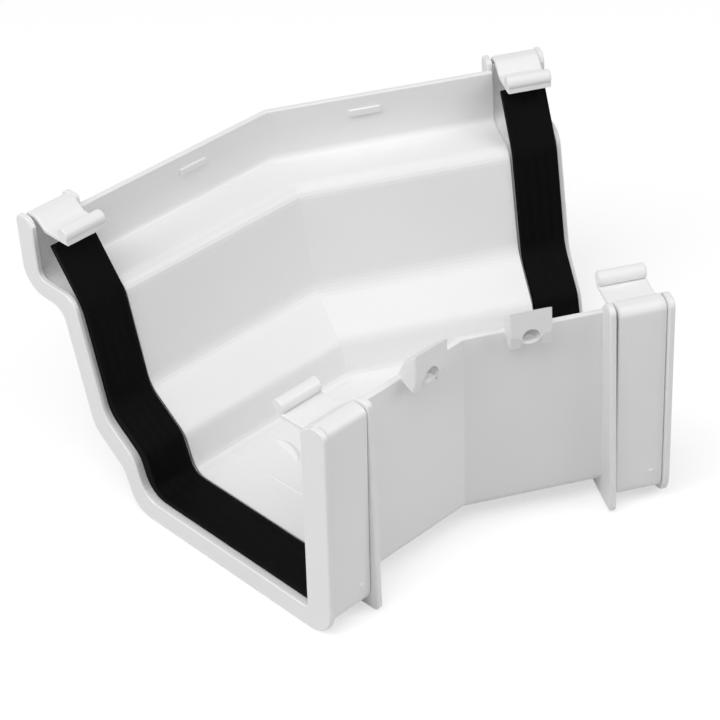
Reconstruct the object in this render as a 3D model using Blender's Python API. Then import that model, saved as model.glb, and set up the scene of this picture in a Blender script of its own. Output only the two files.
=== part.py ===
# Ogee gutter external angle, 150 degrees: one moulded channel, two socket seals and two clip straps.
# Units are metres, +Z is up, and the flat back wall faces -Y, the ogee front +Y.
import math

import bmesh
import bpy
from mathutils import Vector

MM = 0.001

# The bend
BEND_HALF_ANGLE = math.radians(15.0)

# Distances along each arm, from the bend line of the back wall
ARM_LENGTH = 58.25 * MM
SOCKET_LENGTH = 17.95 * MM
FLANGE_START = ARM_LENGTH - SOCKET_LENGTH
FLANGE_THICKNESS = 1.8 * MM
RIM_THICKNESS = 1.7 * MM
ARM_OVERLAP = 0.6 * MM

# Chamfer round the end faces of the plates, straps and seals
END_CHAMFER = 0.3 * MM

# The opening line, which a gutter's outside follows, as corners (out from the back, up)
BACK_HEAD = (-3.75 * MM, 63.0 * MM)
HEEL = (1.4 * MM, 4.2 * MM)
TOE_FOOT = (67.8 * MM, 4.2 * MM)
TOE_HEAD = (70.95 * MM, 16.65 * MM)
FACE_FOOT = (83.6 * MM, 27.0 * MM)
FACE_HEAD = (89.2 * MM, 61.75 * MM)
BAND_FOOT = (107.5 * MM, 62.25 * MM)
BAND_HEAD = (106.55 * MM, 78.2 * MM)

# Corner radii of the opening line: heel, toe foot, toe head, face foot, face head, band foot
CORNER_RADII = (1.5 * MM, 4.6 * MM, 7.0 * MM, 10.0 * MM, 5.0 * MM, 2.8 * MM)
CORNER_GROWTH = (1.0, 1.0, 0.0, 0.0, 0.0, 1.0)
CORNER_STEPS = 6
BEAD_STEPS = 16

# Share of a layer's depth that each side takes: back, floor, toe, slope, face, shoulder, band
SIDE_SHARES = (1.12, 0.8, 1.45, 1.42, 1.05, 0.715, 0.857)

# Layers of the sockets, as depths out from the opening line
SEAL_DEPTH = 2.45 * MM
SEAL_CLEARANCE = 0.45 * MM
SOCKET_WALL = 1.85 * MM
STRAP_CLEARANCE = 0.45 * MM
STRAP_WALL = 1.95 * MM
SOCKET_INNER = SEAL_DEPTH + SEAL_CLEARANCE
SOCKET_OUTER = SOCKET_INNER + SOCKET_WALL
STRAP_INNER = SOCKET_OUTER + STRAP_CLEARANCE
STRAP_OUTER = STRAP_INNER + STRAP_WALL

# Channel wall between the sockets: how far its inside lies outside the opening line, side by side
CHANNEL_DEPTHS = (0.0, 1.05 * MM, 0.6 * MM, 1.1 * MM, 1.45 * MM, 1.6 * MM, 0.0)
BACK_WALL = 1.9 * MM
CHANNEL_WALL = 2.35 * MM
BAND_WALL = 2.05 * MM
CHANNEL_BACK_TOP = 63.0 * MM
CHANNEL_FRONT_TOP = 78.65 * MM
EDGE_ROUND = 0.45 * MM

# Rims, side by side: their mouth, which laps over the seal on the back and the front band, and their outside
RIM_MOUTH_DEPTHS = (0.0, 2.25 * MM, 4.1 * MM, 4.0 * MM, 2.6 * MM, 0.0, 0.0)
RIM_OUTER_DEPTHS = (9.4 * MM, 9.3 * MM, 11.2 * MM, 12.7 * MM, 9.9 * MM, 6.2 * MM, 7.5 * MM)
RIM_HEEL_ROUND = 9.5 * MM

# Tops of the rims and flanges
RIM_BACK_TOP = 67.4 * MM
RIM_BACK_BREAK = -8.35 * MM
RIM_BACK_SILL = 64.3 * MM
RIM_FRONT_TOP = 81.8 * MM
RIM_FRONT_BREAK = 107.95 * MM
RIM_FRONT_SILL = 79.2 * MM
RIM_TOP_ROUND = 2.8 * MM
RIM_EDGE_ROUND = 0.5 * MM
RIM_BREAK_ROUND = 2.6 * MM

# Flanges, with the tapered fin on the back wall
FLANGE_EXTRA = 0.4 * MM
FLANGE_FLOOR_DEPTH = 8.85 * MM
FIN_TOP_REACH = 12.3 * MM
FIN_FOOT_REACH = 8.5 * MM
FIN_CORNER = 2.3 * MM

# Strap hooks: flat over the wall, a slope down, a strip and a rounded bead
STRAP_SIDE_GAP = 0.4 * MM
STRAP_HEEL_ROUND = 4.2 * MM
HOOK_THICKNESS = 1.55 * MM
HOOK_CLEARANCE = 0.6 * MM
HOOK_TOP_ROUND = 2.6 * MM
HOOK_BREAK_ROUND = 3.0 * MM
HOOK_SLOPE_ROUND = 1.0 * MM
HOOK_BACK_TOP = 66.4 * MM
HOOK_BACK_BREAK = -6.7 * MM
HOOK_BACK_SLOPE_END = -2.55 * MM
HOOK_BACK_STRIP = 63.15 * MM
HOOK_BACK_BEAD = 7.15 * MM
HOOK_FRONT_TOP = 82.0 * MM
HOOK_FRONT_BREAK = 107.0 * MM
HOOK_FRONT_SLOPE_END = 103.3 * MM
HOOK_FRONT_STRIP = 79.1 * MM
HOOK_FRONT_BEAD = 95.3 * MM
HOOK_BACK_BEAD_RISE = 1.85 * MM
HOOK_FRONT_BEAD_RISE = 1.3 * MM
HOOK_BEAD_RADIUS = 2.2 * MM
PIP_RADIUS = 0.85 * MM
PIP_HEIGHT = 0.3 * MM
PIP_LEVEL = 6.2 * MM
PIP_SIDE = 3.3 * MM

# Socket wall tops, under the hooks
SOCKET_BACK_TOP = HOOK_BACK_TOP - HOOK_THICKNESS - HOOK_CLEARANCE
SOCKET_FRONT_TOP = HOOK_FRONT_TOP - HOOK_THICKNESS - HOOK_CLEARANCE

# Seals, which leave the wall under the front hook and run straight up to it
SEAL_SIDE_GAP = 0.35 * MM
SEAL_BACK_TOP = HOOK_BACK_STRIP - HOOK_THICKNESS - HOOK_CLEARANCE
SEAL_FRONT_TOP = 74.6 * MM
SEAL_CHORD_FOOT = (88.3 * MM, 58.15 * MM)
SEAL_CHORD_HEAD = (101.3 * MM, 77.3 * MM)
SEAL_CHORD_RADIUS = 13.0 * MM
SEAL_LIP_ROUND = 0.4 * MM

# Screw lugs on the back wall
LUG_START = 12.8 * MM
LUG_END = 24.5 * MM
LUG_DEPTH = 7.3 * MM
LUG_TOP = 72.3 * MM
LUG_SHOULDER = (-7.5 * MM, 69.3 * MM)
LUG_RAMP_INSET = 0.15 * MM
LUG_LEDGE = 64.0 * MM
LUG_FOOT = (-9.9 * MM, 59.65 * MM)
LUG_ROOT = 61.8 * MM
LUG_HOLE_RADIUS = 2.5 * MM
LUG_HOLE_MOUTH = (-11.15 * MM, 63.2 * MM)
LUG_HOLE_TILT = math.radians(30.0)
LUG_HOLE_LENGTH = 16.0 * MM
LUG_RECESS_START = 15.9 * MM
LUG_RECESS_END = 21.6 * MM
LUG_RECESS_REACH = 20.0 * MM
LUG_RECESS_LIP = 60.4 * MM
LUG_RECESS_ROOF = 62.5 * MM

# Two raised bars inside the front band
BAR_START = -3.75 * MM
BAR_END = 5.85 * MM
BAR_BOTTOM = 72.25 * MM
BAR_TOP = 74.25 * MM
BAR_HEIGHT = 0.8 * MM

SMOOTH_ANGLE = math.radians(32.0)
WELD_DISTANCE = 0.000001


def clear_scene():
    for item in list(bpy.data.objects):
        bpy.data.objects.remove(item, do_unlink=True)


def make_material(name, colour, roughness):
    material = bpy.data.materials.new(name)
    material.use_nodes = True
    shader = material.node_tree.nodes["Principled BSDF"]
    shader.inputs["Base Color"].default_value = (*colour, 1.0)
    shader.inputs["Roughness"].default_value = roughness
    shader.inputs["Metallic"].default_value = 0.0
    return material


# A side is a point and a direction in the section, walked from the back wall to the front band
def side_through(start, end):
    direction = Vector((end[0] - start[0], end[1] - start[1])).normalized()
    return Vector(start), direction


def opening_sides():
    corners = [BACK_HEAD, HEEL, TOE_FOOT, TOE_HEAD, FACE_FOOT, FACE_HEAD, BAND_FOOT, BAND_HEAD]
    return [side_through(corners[i], corners[i + 1]) for i in range(len(corners) - 1)]


def move_out(side, depth):
    point, direction = side
    outward = Vector((direction.y, -direction.x))
    return point + outward * depth, direction


def meet(first, second):
    (p, d), (q, e) = first, second
    cross = d.x * e.y - d.y * e.x
    gap = q - p
    return p + d * ((gap.x * e.y - gap.y * e.x) / cross)


def at_height(side, height):
    point, direction = side
    return point + direction * ((height - point.y) / direction.y)


# Depth lists hold one value for each side of the section
def layer(depth):
    return [depth * share for share in SIDE_SHARES]


# How far into the channel's wall the depths lie goes from 0 (its inside) to 1 (its outside)
def channel_depths(into):
    walls = [BACK_WALL] + [CHANNEL_WALL] * 5 + [BAND_WALL]
    return [depth + wall * into for depth, wall in zip(CHANNEL_DEPTHS, walls)]


def path_corners(depths):
    sides = [move_out(side, depth) for side, depth in zip(opening_sides(), depths)]
    corners = []
    for i in range(len(sides) - 1):
        radius = CORNER_RADII[i] + CORNER_GROWTH[i] * min(depths[i], depths[i + 1])
        corners.append((meet(sides[i], sides[i + 1]), radius))
    return sides, corners


# Replaces a corner by points on an arc that touches both of its edges
def round_corner(before, corner, after, radius, steps=CORNER_STEPS):
    a = (before - corner).normalized()
    b = (after - corner).normalized()
    half = a.angle(b) / 2.0
    if radius <= 0.0 or math.pi / 2.0 - half < 0.002:
        return [corner.copy() for _ in range(steps + 1)]
    reach = radius / math.tan(half)
    limit = 0.49 * min((before - corner).length, (after - corner).length)
    if reach > limit:
        radius *= limit / reach
        reach = limit
    centre = corner + (a + b).normalized() * (radius / math.sin(half))
    start = corner + a * reach - centre
    end = corner + b * reach - centre
    turn = math.atan2(start.x * end.y - start.y * end.x, start.dot(end))
    points = []
    for i in range(steps + 1):
        angle = turn * i / steps
        c, s = math.cos(angle), math.sin(angle)
        points.append(centre + Vector((start.x * c - start.y * s, start.x * s + start.y * c)))
    return points


def round_outline(corners):
    outline = []
    count = len(corners)
    for i, (corner, radius) in enumerate(corners):
        before = corners[(i - 1) % count][0]
        after = corners[(i + 1) % count][0]
        if radius <= 0.0:
            outline.append(corner.copy())
        else:
            outline.extend(round_corner(before, corner, after, radius))
    return outline


# A channel-shaped outline between two depth lists, with plain rounded wall tops
def wall_outline(inner_depths, outer_depths, back_top, front_top, edge):
    inner_sides, inner = path_corners(inner_depths)
    outer_sides, outer = path_corners(outer_depths)
    corners = [(at_height(inner_sides[0], back_top), edge)]
    corners += inner
    corners.append((at_height(inner_sides[-1], front_top), edge))
    corners.append((at_height(outer_sides[-1], front_top), edge))
    corners += reversed(outer)
    corners.append((at_height(outer_sides[0], back_top), edge))
    return round_outline(corners)


# The same outline with a large outer top corner and a sloping sill on each side
def plate_outline(inner_depths, outer_depths, back_side, heel_radius):
    inner_sides, inner = path_corners(inner_depths)
    outer_sides, outer = path_corners(outer_depths)
    outer_sides[0] = back_side
    outer[0] = (meet(outer_sides[0], outer_sides[1]), heel_radius)
    corners = [(at_height(inner_sides[0], RIM_BACK_SILL), RIM_EDGE_ROUND)]
    corners += inner
    corners.append((at_height(inner_sides[-1], RIM_FRONT_SILL), RIM_EDGE_ROUND))
    corners.append((Vector((RIM_FRONT_BREAK, RIM_FRONT_TOP)), RIM_BREAK_ROUND))
    corners.append((at_height(outer_sides[-1], RIM_FRONT_TOP), RIM_TOP_ROUND))
    corners += reversed(outer)
    corners.append((at_height(outer_sides[0], RIM_BACK_TOP), RIM_TOP_ROUND))
    corners.append((Vector((RIM_BACK_BREAK, RIM_BACK_TOP)), RIM_BREAK_ROUND))
    return round_outline(corners)


# Arm 1 runs towards +X and arm -1 towards -X
def on_arm(arm, along, out, up):
    c, s = math.cos(BEND_HALF_ANGLE), math.sin(BEND_HALF_ANGLE)
    return Vector((arm * (along * c + out * s), out * c - along * s, up))


def arm_ring(arm, along, outline):
    return [on_arm(arm, along, p.x, p.y) for p in outline]


def mitre_ring(outline):
    return [Vector((0.0, p.x / math.cos(BEND_HALF_ANGLE), p.y)) for p in outline]


def loft(name, rings):
    mesh = bpy.data.meshes.new(name)
    shape = bmesh.new()
    layers = [[shape.verts.new(p) for p in ring] for ring in rings]
    count = len(rings[0])
    for low, high in zip(layers, layers[1:]):
        for i in range(count):
            j = (i + 1) % count
            shape.faces.new((low[i], low[j], high[j], high[i]))
    shape.faces.new(list(reversed(layers[0])))
    shape.faces.new(layers[-1])
    bmesh.ops.remove_doubles(shape, verts=shape.verts, dist=WELD_DISTANCE)
    bmesh.ops.recalc_face_normals(shape, faces=shape.faces)
    shape.to_mesh(mesh)
    shape.free()
    item = bpy.data.objects.new(name, mesh)
    bpy.context.scene.collection.objects.link(item)
    return item


def plate(name, arm, start, end, outline):
    return loft(name, [arm_ring(arm, start, outline), arm_ring(arm, end, outline)])


# The outline drawn in by a small amount, point by point along the mean of its two edges' normals
def draw_in(outline, amount):
    points = [p for i, p in enumerate(outline) if (p - outline[i - 1]).length > 0.5 * WELD_DISTANCE]
    count = len(points)
    area = sum(points[i - 1].x * points[i].y - points[i].x * points[i - 1].y for i in range(count))
    hand = 1.0 if area > 0.0 else -1.0
    inset = []
    for i in range(count):
        before = (points[i] - points[i - 1]).normalized()
        after = (points[(i + 1) % count] - points[i]).normalized()
        normals = [Vector((-edge.y, edge.x)) * hand for edge in (before, after)]
        inward = (normals[0] + normals[1]).normalized()
        inset.append(points[i] + inward * (amount / max(inward.dot(normals[0]), 0.5)))
    return points, inset


def chamfered_plate(name, arm, start, end, outline):
    full, inset = draw_in(outline, END_CHAMFER)
    rings = [
        arm_ring(arm, start, inset),
        arm_ring(arm, start + END_CHAMFER, full),
        arm_ring(arm, end - END_CHAMFER, full),
        arm_ring(arm, end, inset),
    ]
    return loft(name, rings)


def combine(item, other, operation):
    modifier = item.modifiers.new("combine", "BOOLEAN")
    modifier.operation = operation
    modifier.solver = "EXACT"
    modifier.object = other
    bpy.context.view_layer.update()
    evaluated = item.evaluated_get(bpy.context.evaluated_depsgraph_get())
    mesh = bpy.data.meshes.new_from_object(evaluated)
    item.modifiers.clear()
    item.data = mesh
    bpy.data.objects.remove(other, do_unlink=True)


def finish(item, material):
    mesh = item.data
    shape = bmesh.new()
    shape.from_mesh(mesh)
    bmesh.ops.remove_doubles(shape, verts=shape.verts, dist=WELD_DISTANCE * 5.0)
    bmesh.ops.dissolve_degenerate(shape, edges=shape.edges, dist=WELD_DISTANCE * 2.0)
    bmesh.ops.recalc_face_normals(shape, faces=shape.faces)
    shape.to_mesh(mesh)
    shape.free()
    mesh.materials.clear()
    mesh.materials.append(material)
    for face in mesh.polygons:
        face.material_index = 0
        face.use_smooth = True
    mesh.set_sharp_from_angle(angle=SMOOTH_ANGLE)


# The channel between the sockets, mitred at the bend
def channel():
    outline = wall_outline(channel_depths(0.0), channel_depths(1.0), CHANNEL_BACK_TOP, CHANNEL_FRONT_TOP, EDGE_ROUND)
    end = FLANGE_START + FLANGE_THICKNESS - ARM_OVERLAP
    return loft("body", [arm_ring(-1, end, outline), mitre_ring(outline), arm_ring(1, end, outline)])


def socket(arm):
    outline = wall_outline(layer(SOCKET_INNER), layer(SOCKET_OUTER), SOCKET_BACK_TOP, SOCKET_FRONT_TOP, EDGE_ROUND)
    start = FLANGE_START + ARM_OVERLAP
    end = ARM_LENGTH - RIM_THICKNESS + ARM_OVERLAP
    return plate("socket", arm, start, end, outline)


def rim(arm):
    back_side = move_out(opening_sides()[0], RIM_OUTER_DEPTHS[0])
    outline = plate_outline(RIM_MOUTH_DEPTHS, RIM_OUTER_DEPTHS, back_side, RIM_HEEL_ROUND)
    return chamfered_plate("rim", arm, ARM_LENGTH - RIM_THICKNESS, ARM_LENGTH, outline)


def flange(arm):
    outer = [depth + FLANGE_EXTRA for depth in RIM_OUTER_DEPTHS]
    outer[1] = FLANGE_FLOOR_DEPTH
    back_side = side_through((-FIN_TOP_REACH, RIM_BACK_TOP), (-FIN_FOOT_REACH, HEEL[1] - outer[1]))
    outline = plate_outline(channel_depths(0.5), outer, back_side, FIN_CORNER)
    return chamfered_plate("flange", arm, FLANGE_START, FLANGE_START + FLANGE_THICKNESS, outline)


def lug(arm):
    back = opening_sides()[0]
    inside = move_out(back, LUG_RAMP_INSET)
    middle = move_out(back, BACK_WALL / 2.0)
    outside = move_out(back, BACK_WALL)
    face = move_out(back, LUG_DEPTH)
    outline = [
        at_height(inside, CHANNEL_BACK_TOP),
        Vector(LUG_SHOULDER),
        at_height(face, LUG_TOP),
        at_height(face, LUG_LEDGE),
        Vector(LUG_FOOT),
        at_height(outside, LUG_ROOT),
        at_height(middle, LUG_ROOT),
        at_height(inside, CHANNEL_BACK_TOP - EDGE_ROUND * 2.0),
    ]
    return chamfered_plate("lug", arm, LUG_START, LUG_END, outline)


def lug_hole(arm):
    drill = Vector((math.cos(LUG_HOLE_TILT), math.sin(LUG_HOLE_TILT)))
    rise = Vector((-drill.y, drill.x))
    middle = (LUG_START + LUG_END) / 2.0
    rings = []
    for reach in (-LUG_HOLE_LENGTH / 2.0, LUG_HOLE_LENGTH):
        axis = Vector(LUG_HOLE_MOUTH) + drill * reach
        ring = []
        for i in range(24):
            angle = 2.0 * math.pi * i / 24
            across = LUG_HOLE_RADIUS * math.cos(angle)
            point = axis + rise * (LUG_HOLE_RADIUS * math.sin(angle))
            ring.append(on_arm(arm, middle + across, point.x, point.y))
        rings.append(ring)
    return loft("lug_hole", rings)


# The lug is open underneath, between its ends
def lug_recess(arm):
    wall = move_out(opening_sides()[0], BACK_WALL)
    below = LUG_FOOT[1] - SOCKET_WALL
    roof = at_height(wall, LUG_RECESS_ROOF)
    outline = [
        Vector((-LUG_RECESS_REACH, below)),
        Vector((-LUG_RECESS_REACH, LUG_RECESS_LIP)),
        roof,
        at_height(wall, below),
    ]
    return plate("lug_recess", arm, LUG_RECESS_START, LUG_RECESS_END, outline)


def bar(arm):
    side = opening_sides()[-1]
    low = at_height(side, BAR_BOTTOM)
    high = at_height(side, BAR_TOP)
    depth = Vector((BAR_HEIGHT, 0.0))
    outline = [low - depth, high - depth, high + depth, low + depth]
    return plate("bar", arm, BAR_START, BAR_END, outline)


def body():
    item = channel()
    for arm in (-1, 1):
        for piece in (socket(arm), flange(arm), rim(arm), lug(arm), bar(arm)):
            combine(item, piece, "UNION")
    for arm in (-1, 1):
        combine(item, lug_hole(arm), "DIFFERENCE")
        combine(item, lug_recess(arm), "DIFFERENCE")
    return item


# The strap's sides from the back hook's strip to the front hook's strip
def strap_sides(depths, lift):
    walls = [move_out(side, depth) for side, depth in zip(opening_sides(), depths)]
    back_strip = side_through((HOOK_BACK_BEAD, HOOK_BACK_STRIP), (HOOK_BACK_SLOPE_END, HOOK_BACK_STRIP))
    back_slope = side_through((HOOK_BACK_SLOPE_END, HOOK_BACK_STRIP), (HOOK_BACK_BREAK, HOOK_BACK_TOP))
    back_flat = side_through((HOOK_BACK_BREAK, HOOK_BACK_TOP), (HOOK_BACK_BREAK - 1.0, HOOK_BACK_TOP))
    front_flat = side_through((HOOK_FRONT_BREAK + 1.0, HOOK_FRONT_TOP), (HOOK_FRONT_BREAK, HOOK_FRONT_TOP))
    front_slope = side_through((HOOK_FRONT_BREAK, HOOK_FRONT_TOP), (HOOK_FRONT_SLOPE_END, HOOK_FRONT_STRIP))
    front_strip = side_through((HOOK_FRONT_SLOPE_END, HOOK_FRONT_STRIP), (HOOK_FRONT_BEAD, HOOK_FRONT_STRIP))
    hooks = [move_out(side, lift) for side in (back_strip, back_slope, back_flat)]
    ends = [move_out(side, lift) for side in (front_flat, front_slope, front_strip)]
    return hooks + walls + ends


def strap_corners(depths, lift, top_round, heel_round):
    sides = strap_sides(depths, lift)
    radii = [HOOK_SLOPE_ROUND, HOOK_BREAK_ROUND, top_round, heel_round]
    for i in range(1, len(CORNER_RADII)):
        radii.append(CORNER_RADII[i] + CORNER_GROWTH[i] * min(depths[i], depths[i + 1]))
    radii += [top_round, HOOK_BREAK_ROUND, HOOK_SLOPE_ROUND]
    return sides, [(meet(sides[i], sides[i + 1]), radii[i]) for i in range(len(radii))]


# A rounded bead standing on the end of the strip, walked from the strip's top over to its underside
def bead(centre_out, strip_top, rise, inward):
    foot = math.asin(rise / HOOK_BEAD_RADIUS)
    points = []
    for i in range(BEAD_STEPS + 1):
        angle = math.pi + foot - (math.pi + 2.0 * foot) * i / BEAD_STEPS
        offset = Vector((inward * HOOK_BEAD_RADIUS * math.cos(angle), HOOK_BEAD_RADIUS * math.sin(angle)))
        points.append(Vector((centre_out, strip_top + rise)) + offset)
    points.append(Vector((points[-1].x, strip_top - HOOK_THICKNESS)))
    return points


def strap_outline():
    outer_sides, outer = strap_corners(layer(STRAP_OUTER), 0.0, HOOK_TOP_ROUND, STRAP_HEEL_ROUND)
    inner_round = HOOK_TOP_ROUND - HOOK_THICKNESS
    inner_sides, inner = strap_corners(layer(STRAP_INNER), -HOOK_THICKNESS, inner_round, STRAP_HEEL_ROUND - STRAP_WALL)
    back_bead = bead(HOOK_BACK_BEAD, HOOK_BACK_STRIP, HOOK_BACK_BEAD_RISE, 1.0)
    front_bead = bead(HOOK_FRONT_BEAD, HOOK_FRONT_STRIP, HOOK_FRONT_BEAD_RISE, -1.0)
    corners = [(point, 0.0) for point in reversed(back_bead)]
    corners += outer
    corners += [(point, 0.0) for point in front_bead]
    corners += reversed(inner)
    return round_outline(corners)


# Both straps are the same moulding, so the pip sits on the same hand of each
def strap(name, arm):
    start = FLANGE_START + FLANGE_THICKNESS + STRAP_SIDE_GAP
    end = ARM_LENGTH - RIM_THICKNESS - STRAP_SIDE_GAP
    item = chamfered_plate(name, arm, start, end, strap_outline())
    face = move_out(opening_sides()[0], STRAP_OUTER * SIDE_SHARES[0])
    middle = end - PIP_SIDE if arm > 0 else start + PIP_SIDE
    foot = at_height(face, PIP_LEVEL)
    rise = -face[1]
    inward = Vector((rise.y, -rise.x))
    rings = []
    for into in (PIP_HEIGHT * 2.0, -PIP_HEIGHT):
        ring = []
        for i in range(16):
            angle = 2.0 * math.pi * i / 16
            point = foot + inward * into + rise * (PIP_RADIUS * math.sin(angle))
            ring.append(on_arm(arm, middle + PIP_RADIUS * math.cos(angle), point.x, point.y))
        rings.append(ring)
    combine(item, loft("pip", rings), "UNION")
    return item


# A flat strip of rubber along the socket wall, then straight up to the front hook
def seal(name, arm):
    chord = side_through(SEAL_CHORD_FOOT, SEAL_CHORD_HEAD)
    base = opening_sides()[:5] + [chord]
    depths = layer(SEAL_DEPTH)[:5] + [SEAL_DEPTH]
    outer_sides = [move_out(side, depth) for side, depth in zip(base, depths)]
    radii = list(CORNER_RADII[:4]) + [SEAL_CHORD_RADIUS]
    inner = [(meet(base[i], base[i + 1]), radii[i]) for i in range(5)]
    growth = [CORNER_GROWTH[i] * depths[i + 1] for i in range(4)] + [0.0]
    outer = [(meet(outer_sides[i], outer_sides[i + 1]), radii[i] + growth[i]) for i in range(5)]
    corners = [(at_height(base[0], SEAL_BACK_TOP), SEAL_LIP_ROUND)]
    corners += inner
    corners.append((at_height(base[-1], SEAL_FRONT_TOP), SEAL_LIP_ROUND))
    corners.append((at_height(outer_sides[-1], SEAL_FRONT_TOP), SEAL_LIP_ROUND))
    corners += reversed(outer)
    corners.append((at_height(outer_sides[0], SEAL_BACK_TOP), SEAL_LIP_ROUND))
    start = FLANGE_START + FLANGE_THICKNESS + SEAL_SIDE_GAP
    end = ARM_LENGTH - RIM_THICKNESS - SEAL_SIDE_GAP
    return chamfered_plate(name, arm, start, end, round_outline(corners))


# Puts the origin under the middle of the footprint
def centre(items):
    points = [v.co for item in items for v in item.data.vertices]
    low = min(p.y for p in points)
    high = max(p.y for p in points)
    shift = Vector((0.0, -(low + high) / 2.0, -min(p.z for p in points)))
    for item in items:
        for vertex in item.data.vertices:
            vertex.co += shift


def build():
    clear_scene()
    white = make_material("white_pvc", (0.86, 0.86, 0.85), 0.32)
    clip_white = make_material("clip_pvc", (0.85, 0.85, 0.84), 0.30)
    rubber = make_material("black_rubber", (0.012, 0.012, 0.013), 0.65)
    pieces = [
        (body(), white),
        (seal("seal_left", -1), rubber),
        (seal("seal_right", 1), rubber),
        (strap("strap_left", -1), clip_white),
        (strap("strap_right", 1), clip_white),
    ]
    for item, material in pieces:
        finish(item, material)
    centre([item for item, _ in pieces])


build()
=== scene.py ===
import math

import bmesh
import bpy
from mathutils import Matrix, Vector


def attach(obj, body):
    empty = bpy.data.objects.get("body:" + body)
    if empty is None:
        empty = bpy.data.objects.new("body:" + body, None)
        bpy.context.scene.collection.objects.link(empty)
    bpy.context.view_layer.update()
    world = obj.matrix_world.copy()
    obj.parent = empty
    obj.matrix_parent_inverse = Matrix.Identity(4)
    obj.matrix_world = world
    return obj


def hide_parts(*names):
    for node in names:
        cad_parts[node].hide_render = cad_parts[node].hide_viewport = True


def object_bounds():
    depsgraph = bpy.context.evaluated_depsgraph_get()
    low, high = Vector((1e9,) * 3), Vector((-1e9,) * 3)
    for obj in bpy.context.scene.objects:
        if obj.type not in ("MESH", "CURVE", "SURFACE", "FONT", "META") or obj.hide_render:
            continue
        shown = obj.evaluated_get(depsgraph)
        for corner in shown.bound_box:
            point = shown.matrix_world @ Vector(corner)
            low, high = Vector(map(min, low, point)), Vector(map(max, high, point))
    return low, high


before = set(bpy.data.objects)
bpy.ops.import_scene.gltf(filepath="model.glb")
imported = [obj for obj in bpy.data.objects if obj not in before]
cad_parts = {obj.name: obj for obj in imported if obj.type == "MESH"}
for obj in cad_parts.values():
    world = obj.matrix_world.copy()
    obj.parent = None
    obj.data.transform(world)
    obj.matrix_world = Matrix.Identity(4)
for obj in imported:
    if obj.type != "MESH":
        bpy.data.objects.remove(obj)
cad_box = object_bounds()

MM = 0.001

# Camera, from the photograph
CAMERA_PLACE = Vector((-0.231074, -0.483854, 0.412689))
CAMERA_YAW = math.radians(-27.102)
CAMERA_PITCH = math.radians(33.616)
CAMERA_ROLL = math.radians(-4.106)
CAMERA_SENSOR = 36.0
CAMERA_LENS = 113.236
CAMERA_SHIFT = (-0.1, -0.1)
CAMERA_NEAR = 0.01
CAMERA_FAR = 50.0

# Floor and room
FLOOR_SIZE = 6.0
FLOOR_GAP = 0.2 * MM
FLOOR_COLOUR = 0.55
FLOOR_GLOW = 0.56
ROOM_STRENGTH = 0.29

# Soft lamps: place and strength
LAMP_AIM = Vector((0.0, 0.0, 0.04))
LAMP_SIZE = 1.1
LAMPS = {
    "left": (Vector((-1.23, 0.0, 0.9)), 7.6),
    "key": (Vector((-0.5, -0.5, 1.36)), 9.2),
    "fill": (Vector((0.87, -0.87, 0.9)), 6.2),
}

# Values that a noise texture mostly stays between, in full and without its tails
NOISE_WIDE = (0.25, 0.75)
NOISE_NARROW = (0.3, 0.7)

# White plastic
PLASTIC_COLOUR = (0.86, 0.86, 0.86)
PLASTIC_IOR = 1.53
PLASTIC_ROUGHNESS = (0.3, 0.36)
PLASTIC_SHADE = (0.985, 1.0)
PLASTIC_WAVE = 0.03 * MM
PLASTIC_WAVE_SCALE = 38.0
PLASTIC_WAVE_DETAIL = 2.0
PLASTIC_SKIN_SCALE = 120.0
PLASTIC_SKIN_DETAIL = 1.0

# Black rubber, ribbed along the strip
RUBBER_COLOUR = (0.0022, 0.0022, 0.0026)
RUBBER_SPECULAR = 0.05
RUBBER_ROUGHNESS = (0.6, 0.72)
RUBBER_SHADE = (0.8, 1.3)
RUBBER_CLOUD_SCALE = 60.0
RUBBER_CLOUD_DETAIL = 3.0
RUBBER_RIB_SCALE = 100.0
RUBBER_RIB_DEPTH = 0.15 * MM

# The bend, and where the back wall's bend line stands in the frame. Sides are -1 left, 1 right
BEND_HALF_ANGLE = math.radians(15.0)
BEND_LINE_Y = -42.73 * MM
LEFT = -1.0
RIGHT = 1.0

# Added pieces keep their edges sharp from this angle up
SHARP_ANGLE = math.radians(60.0)

# Low ridges on the channel floor: distances along the arm and out from the back
RIDGE_STEPS = 8
RIDGE_SINK = 0.03 * MM
LINE_MARK_ALONG = 28.1 * MM
LINE_MARK_FROM = 8.0 * MM
LINE_MARK_TO = 52.5 * MM
LINE_MARK_WIDTH = 0.65 * MM
LINE_MARK_HEIGHT = 0.3 * MM
LINE_MARK_STEPS = 40
LINE_MARK_FULLNESS = 10.0
FLOW_MARK_CENTRE = (31.2 * MM, 59.0 * MM)
FLOW_MARK_RADIUS = 15.6 * MM
FLOW_MARK_START = math.radians(-38.0)
FLOW_MARK_END = math.radians(16.0)
FLOW_MARK_WIDTH = 3.4 * MM
FLOW_MARK_HEIGHT = 0.75 * MM
FLOW_MARK_STEPS = 24
FLOW_MARK_FULLNESS = 1.2

# Screw holes of the lugs, and the sloping part of the lug's face: out from the back, height
HOLE_ALONG = 18.65 * MM
HOLE_MOUTH = Vector((-11.15 * MM, 68.3 * MM))
HOLE_TILT = math.radians(30.0)
LUG_FACE_LEDGE = Vector((-11.43 * MM, 69.1 * MM))
LUG_FACE_FOOT = Vector((-9.9 * MM, 64.75 * MM))

# Lips under the screw holes
LIP_INSIDE = 2.5 * MM
LIP_OUTSIDE = 3.35 * MM
LIP_INSET = 0.06 * MM
LIP_DEPTH = 1.1 * MM
LIP_ROUND = 0.25 * MM
LIP_STEPS = 24
LIP_OVERLAP = math.radians(3.0)

# How far each strap sits to the right in its slot, as the camera sees it
STRAP_SHIFT = 0.3 * MM


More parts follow.
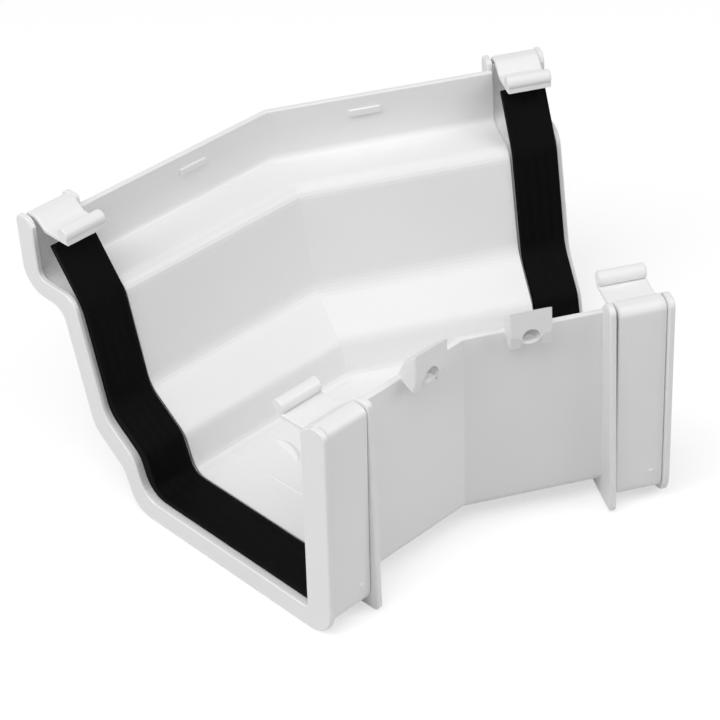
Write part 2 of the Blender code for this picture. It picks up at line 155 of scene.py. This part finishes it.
def make_camera():
    data = bpy.data.cameras.new("camera")
    data.sensor_width = CAMERA_SENSOR
    data.lens = CAMERA_LENS
    data.shift_x, data.shift_y = CAMERA_SHIFT
    data.clip_start = CAMERA_NEAR
    data.clip_end = CAMERA_FAR
    camera = bpy.data.objects.new("camera", data)
    bpy.context.scene.collection.objects.link(camera)
    back = Vector((
        math.sin(CAMERA_YAW) * math.cos(CAMERA_PITCH),
        -math.cos(CAMERA_YAW) * math.cos(CAMERA_PITCH),
        math.sin(CAMERA_PITCH),
    ))
    level = Vector((math.cos(CAMERA_YAW), math.sin(CAMERA_YAW), 0.0))
    upright = back.cross(level)
    right = level * math.cos(CAMERA_ROLL) + upright * math.sin(CAMERA_ROLL)
    up = upright * math.cos(CAMERA_ROLL) - level * math.sin(CAMERA_ROLL)
    turn = Matrix((right, up, back)).transposed()
    camera.matrix_world = Matrix.Translation(CAMERA_PLACE) @ turn.to_4x4()
    bpy.context.scene.camera = camera


# Node settings are given by name, and its inputs' values by "in_" and the input's name
def node(tree, kind, **values):
    item = tree.nodes.new(kind)
    for name, value in values.items():
        if name.startswith("in_"):
            item.inputs[name[3:].replace("_", " ")].default_value = value
        else:
            setattr(item, name, value)
    return item


# 1 where the camera, a reflection or a clear material looks, and 0 for light that falls on things
def seen_directly(tree):
    path = node(tree, "ShaderNodeLightPath")
    first = node(tree, "ShaderNodeMath", operation="MAXIMUM")
    both = node(tree, "ShaderNodeMath", operation="MAXIMUM")
    tree.links.new(path.outputs["Is Camera Ray"], first.inputs[0])
    tree.links.new(path.outputs["Is Glossy Ray"], first.inputs[1])
    tree.links.new(first.outputs[0], both.inputs[0])
    tree.links.new(path.outputs["Is Transmission Ray"], both.inputs[1])
    return both.outputs[0]


# White where it is seen, and a weak even light for the part
def make_world():
    world = bpy.data.worlds.new("studio")
    bpy.context.scene.world = world
    world.use_nodes = True
    tree = world.node_tree
    tree.nodes.clear()
    out = node(tree, "ShaderNodeOutputWorld")
    mix = node(tree, "ShaderNodeMixShader")
    room = node(tree, "ShaderNodeBackground", in_Color=(1, 1, 1, 1), in_Strength=ROOM_STRENGTH)
    white = node(tree, "ShaderNodeBackground", in_Color=(1, 1, 1, 1), in_Strength=1.0)
    tree.links.new(seen_directly(tree), mix.inputs[0])
    tree.links.new(room.outputs[0], mix.inputs[1])
    tree.links.new(white.outputs[0], mix.inputs[2])
    tree.links.new(mix.outputs[0], out.inputs[0])


def new_material(name):
    material = bpy.data.materials.new(name)
    material.use_nodes = True
    tree = material.node_tree
    return material, tree, tree.nodes["Principled BSDF"]


# A pale floor that keeps the part's shadow, and is lifted to white where it is seen
def make_floor():
    half = FLOOR_SIZE / 2.0
    mesh = bpy.data.meshes.new("floor")
    corners = [(-half, -half, 0), (half, -half, 0), (half, half, 0), (-half, half, 0)]
    mesh.from_pydata(corners, [], [(0, 1, 2, 3)])
    floor = bpy.data.objects.new("floor", mesh)
    floor.location.z = cad_box[0].z - FLOOR_GAP
    bpy.context.scene.collection.objects.link(floor)
    material, tree, shader = new_material("floor")
    shader.inputs["Base Color"].default_value = (FLOOR_COLOUR, FLOOR_COLOUR, FLOOR_COLOUR, 1.0)
    shader.inputs["Roughness"].default_value = 1.0
    shader.inputs["Specular IOR Level"].default_value = 0.0
    shader.inputs["Emission Color"].default_value = (1, 1, 1, 1)
    lift = node(tree, "ShaderNodeMath", operation="MULTIPLY")
    lift.inputs[1].default_value = FLOOR_GLOW
    tree.links.new(seen_directly(tree), lift.inputs[0])
    tree.links.new(lift.outputs[0], shader.inputs["Emission Strength"])
    mesh.materials.append(material)


def make_lamps():
    for name, (place, strength) in LAMPS.items():
        data = bpy.data.lights.new(name, "AREA")
        data.shape = "DISK"
        data.size = LAMP_SIZE
        data.energy = strength
        lamp = bpy.data.objects.new(name, data)
        bpy.context.scene.collection.objects.link(lamp)
        lamp.location = place
        lamp.rotation_mode = "QUATERNION"
        lamp.rotation_quaternion = (LAMP_AIM - place).to_track_quat("-Z", "Y")


# A noise texture fixed to the piece
def noise(tree, place, scale, detail):
    texture = node(tree, "ShaderNodeTexNoise", in_Scale=scale, in_Detail=detail)
    tree.links.new(place.outputs["Object"], texture.inputs["Vector"])
    return texture.outputs["Fac"]


# A texture's values, spread from one range over another
def spread(tree, values, old, new):
    remap = node(tree, "ShaderNodeMapRange")
    remap.inputs["From Min"].default_value, remap.inputs["From Max"].default_value = old
    remap.inputs["To Min"].default_value, remap.inputs["To Max"].default_value = new
    tree.links.new(values, remap.inputs["Value"])
    return remap.outputs["Result"]


def uneven_colour(tree, shader, colour, amount):
    shade = node(tree, "ShaderNodeVectorMath", operation="SCALE")
    shade.inputs[0].default_value = colour
    tree.links.new(amount, shade.inputs["Scale"])
    tree.links.new(shade.outputs["Vector"], shader.inputs["Base Color"])


def bumps(tree, shader, height, depth):
    bump = node(tree, "ShaderNodeBump", in_Strength=1.0, in_Distance=depth)
    tree.links.new(height, bump.inputs["Height"])
    tree.links.new(bump.outputs["Normal"], shader.inputs["Normal"])


# Moulded plastic: satin, with a faint unevenness in level, gloss and shade
def plastic(name):
    material, tree, shader = new_material(name)
    shader.inputs["IOR"].default_value = PLASTIC_IOR
    place = node(tree, "ShaderNodeTexCoord")
    broad = noise(tree, place, PLASTIC_WAVE_SCALE, PLASTIC_WAVE_DETAIL)
    skin = noise(tree, place, PLASTIC_SKIN_SCALE, PLASTIC_SKIN_DETAIL)
    uneven_colour(tree, shader, PLASTIC_COLOUR, spread(tree, broad, NOISE_WIDE, PLASTIC_SHADE))
    tree.links.new(spread(tree, skin, NOISE_NARROW, PLASTIC_ROUGHNESS), shader.inputs["Roughness"])
    bumps(tree, shader, broad, PLASTIC_WAVE)
    return material


# Rubber: matt black, slightly uneven, with fine ribs that run along the strip of one arm
def rubber(name, side):
    material, tree, shader = new_material(name)
    shader.inputs["Specular IOR Level"].default_value = RUBBER_SPECULAR
    place = node(tree, "ShaderNodeTexCoord")
    cloud = noise(tree, place, RUBBER_CLOUD_SCALE, RUBBER_CLOUD_DETAIL)
    turn = node(tree, "ShaderNodeMapping")
    turn.inputs["Rotation"].default_value[2] = side * BEND_HALF_ANGLE
    tree.links.new(place.outputs["Object"], turn.inputs["Vector"])
    ribs = node(tree, "ShaderNodeTexWave", in_Scale=RUBBER_RIB_SCALE, in_Distortion=0.0)
    tree.links.new(turn.outputs["Vector"], ribs.inputs["Vector"])
    uneven_colour(tree, shader, RUBBER_COLOUR, spread(tree, cloud, NOISE_NARROW, RUBBER_SHADE))
    tree.links.new(spread(tree, cloud, NOISE_NARROW, RUBBER_ROUGHNESS), shader.inputs["Roughness"])
    bumps(tree, shader, ribs.outputs["Fac"], RUBBER_RIB_DEPTH)
    return material


def dress(name, material):
    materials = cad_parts[name].data.materials
    materials.clear()
    materials.append(material)


# A point of an arm: along it, out from the back, at a height
def arm_point(side, along, out, height):
    cos, sin = math.cos(BEND_HALF_ANGLE), math.sin(BEND_HALF_ANGLE)
    x = side * (along * cos + out * sin)
    return Vector((x, BEND_LINE_Y + out * cos - along * sin, height))


# A piece skinned over rows of points, closed all round and at both ends
def skinned_piece(name, rows, material):
    mesh = bpy.data.meshes.new(name)
    shape = bmesh.new()
    rings = [[shape.verts.new(point) for point in row] for row in rows]
    for ring, next_ring in zip(rings, rings[1:]):
        for index in range(len(ring)):
            shape.faces.new((ring[index - 1], ring[index], next_ring[index], next_ring[index - 1]))
    shape.faces.new(rings[0])
    shape.faces.new(rings[-1])
    bmesh.ops.recalc_face_normals(shape, faces=shape.faces)
    shape.to_mesh(mesh)
    shape.free()
    mesh.shade_smooth()
    mesh.set_sharp_from_angle(angle=SHARP_ANGLE)
    mesh.materials.append(material)
    piece = bpy.data.objects.new(name, mesh)
    bpy.context.scene.collection.objects.link(piece)
    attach(piece, "root")


def floor_level(side):
    top = arm_point(side, LINE_MARK_ALONG, LINE_MARK_TO, cad_box[1].z)
    _, place, _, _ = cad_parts["body"].ray_cast(top, Vector((0.0, 0.0, -1.0)))
    return place.z


# A low rounded ridge on the channel floor, thinning to nothing at both ends
def floor_ridge(name, side, path, width, height, fullness, material):
    level = floor_level(side) - RIDGE_SINK
    rows = []
    last = len(path) - 1
    for index, (along, out) in enumerate(path):
        ahead = path[min(index + 1, last)]
        behind = path[max(index - 1, 0)]
        run = Vector((ahead[0] - behind[0], ahead[1] - behind[1])).normalized()
        swell = min(1.0, fullness * math.sin(math.pi * (index + 0.5) / len(path)))
        row = []
        for step in range(RIDGE_STEPS + 1):
            share = 2.0 * step / RIDGE_STEPS - 1.0
            reach = share * swell * width / 2.0
            rise = height * swell * math.cos(math.pi * share / 2.0) ** 2
            row.append(arm_point(side, along - run.y * reach, out + run.x * reach, level + rise))
        rows.append(row)
    skinned_piece(name, rows, material)


# How far the gutter goes in, as a fine raised line across each floor
def insertion_marks(material):
    for name, side in (("line_mark_left", LEFT), ("line_mark_right", RIGHT)):
        path = []
        for step in range(LINE_MARK_STEPS + 1):
            share = step / LINE_MARK_STEPS
            path.append((LINE_MARK_ALONG, LINE_MARK_FROM + (LINE_MARK_TO - LINE_MARK_FROM) * share))
        floor_ridge(name, side, path, LINE_MARK_WIDTH, LINE_MARK_HEIGHT, LINE_MARK_FULLNESS, material)


# Curved flow mark on the left floor, near the bend
def flow_mark(material):
    centre_along, centre_out = FLOW_MARK_CENTRE
    path = []
    for step in range(FLOW_MARK_STEPS + 1):
        angle = FLOW_MARK_START + (FLOW_MARK_END - FLOW_MARK_START) * step / FLOW_MARK_STEPS
        along = centre_along - FLOW_MARK_RADIUS * math.cos(angle)
        path.append((along, centre_out + FLOW_MARK_RADIUS * math.sin(angle)))
    floor_ridge("flow_mark", LEFT, path, FLOW_MARK_WIDTH, FLOW_MARK_HEIGHT, FLOW_MARK_FULLNESS, material)


# The lower half of each screw hole's edge: a short half tube that starts just behind the lug's face
def hole_lips(material):
    drill = Vector((math.cos(HOLE_TILT), math.sin(HOLE_TILT)))
    rise = Vector((-drill.y, drill.x))
    slope = (LUG_FACE_LEDGE - LUG_FACE_FOOT).normalized()
    square = Vector((slope.y, -slope.x))
    outline = [
        (LIP_INSIDE, LIP_ROUND),
        (LIP_INSIDE + LIP_ROUND, 0.0),
        (LIP_OUTSIDE - LIP_ROUND, 0.0),
        (LIP_OUTSIDE, LIP_ROUND),
        (LIP_OUTSIDE, LIP_DEPTH),
        (LIP_INSIDE, LIP_DEPTH),
    ]
    start = math.pi - LIP_OVERLAP
    sweep = math.pi + 2.0 * LIP_OVERLAP
    for name, side in (("hole_lip_left", LEFT), ("hole_lip_right", RIGHT)):
        rows = []
        for step in range(LIP_STEPS + 1):
            angle = start + sweep * step / LIP_STEPS
            row = []
            for radius, reach in outline:
                spot = HOLE_MOUTH + rise * (radius * math.sin(angle))
                front = (LIP_INSET - square.dot(spot - LUG_FACE_FOOT)) / square.dot(drill)
                spot += drill * (front + reach)
                row.append(arm_point(side, HOLE_ALONG + radius * math.cos(angle), spot.x, spot.y))
            rows.append(row)
        skinned_piece(name, rows, material)


# Each strap sits against one wall of its slot
def settled_straps(material):
    for name, side in (("strap_left", LEFT), ("strap_right", RIGHT)):
        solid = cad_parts[name]
        shift = arm_point(side, side * STRAP_SHIFT, 0.0, 0.0) - arm_point(side, 0.0, 0.0, 0.0)
        mesh = solid.data.copy()
        mesh.transform(Matrix.Translation(shift) @ solid.matrix_world)
        mesh.materials.clear()
        mesh.materials.append(material)
        strap = bpy.data.objects.new(name + "_settled", mesh)
        bpy.context.scene.collection.objects.link(strap)
        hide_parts(name)
        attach(strap, "root")


make_camera()
make_world()
make_floor()
make_lamps()
white_plastic = plastic("white_plastic")
dress("body", white_plastic)
dress("seal_left", rubber("seal_rubber_left", LEFT))
dress("seal_right", rubber("seal_rubber_right", RIGHT))
insertion_marks(white_plastic)
flow_mark(white_plastic)
hole_lips(white_plastic)
settled_straps(white_plastic)

bpy.context.scene.view_settings.view_transform = "Standard"
